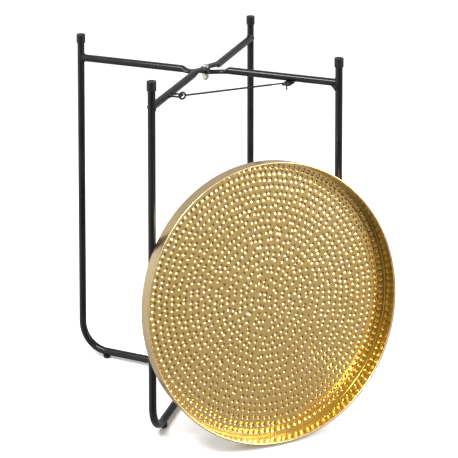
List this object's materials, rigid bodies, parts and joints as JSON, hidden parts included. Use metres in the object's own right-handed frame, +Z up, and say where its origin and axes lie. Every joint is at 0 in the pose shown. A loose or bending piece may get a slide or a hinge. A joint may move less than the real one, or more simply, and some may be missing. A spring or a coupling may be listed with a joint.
{
  "type": "folding tray table",
  "caption": "Folding tray table: a round hammered gold-coloured metal tray leaning on its black tubular stand, whose crossing U-shaped frames pivot to fold and are held open by a hooked stay.",
  "frame": {"origin": "on the floor, at the middle of the stand's four glides, where the common axis of the two pivot bolts meets the floor", "axes": "+Z up; +X along frame A's crossbar towards its right post; +Y to the back, away from the tray's side"},
  "size_m": [0.5643, 0.5265, 0.564],
  "materials": {
    "black_frame": "semi-matte black powder coat",
    "black_rubber": "matte black moulded rubber",
    "black_wire": "semi-matte black powder-coated wire",
    "zinc_hardware": "bright zinc plate",
    "hammered_brass": "polished gold-toned sheet, hammered floor, satin rim"
  },
  "bodies": {
    "frame_a": {"frame_a_tube": "black_frame", "frame_a_crossbar": "black_frame", "post_cap_a_left": "black_rubber", "post_cap_a_right": "black_rubber", "foot_pad_a_left": "black_rubber", "foot_pad_a_right": "black_rubber", "staple_a": "black_wire", "top_pivot_bolt": "zinc_hardware", "top_pivot_nut": "zinc_hardware", "top_pivot_washer": "zinc_hardware", "top_pivot_lock_washer": "zinc_hardware", "top_pivot_spacer": "zinc_hardware", "bottom_pivot_bolt": "zinc_hardware", "bottom_pivot_nut": "zinc_hardware", "bottom_pivot_spacer": "zinc_hardware"},
    "frame_b": {"frame_b_tube": "black_frame", "frame_b_crossbar": "black_frame", "post_cap_b_front": "black_rubber", "post_cap_b_back": "black_rubber", "foot_pad_b_front": "black_rubber", "foot_pad_b_back": "black_rubber", "staple_b": "black_wire"},
    "stay_rod": {"stay_rod": "black_wire"},
    "tray": {"tray": "hammered_brass"}
  },
  "joints": [
    {"name": "fold", "type": "hinge", "parent": "frame_a", "child": "frame_b", "pos_m": [0, 0, 0], "axis": [0, 0, 1], "range_deg": [0, 78]},
    {"name": "stay_lift", "type": "hinge", "parent": "frame_b", "child": "stay_rod", "pos_m": [0.02747, -0.15505, 0.523], "axis": [0.0906, -0.9959, 0], "range_deg": [0, 150]},
    {"name": "tray_away", "type": "slide", "parent": "frame_a", "child": "tray", "axis": [0.6754, -0.6534, 0.342], "range_m": [0, 0.36]}
  ],
  "couplings": [
    {"joint": "stay_lift", "follows": "fold", "ratio": 1.9},
    {"joint": "tray_away", "follows": "fold", "m_per_rad": 0.26}
  ]
}
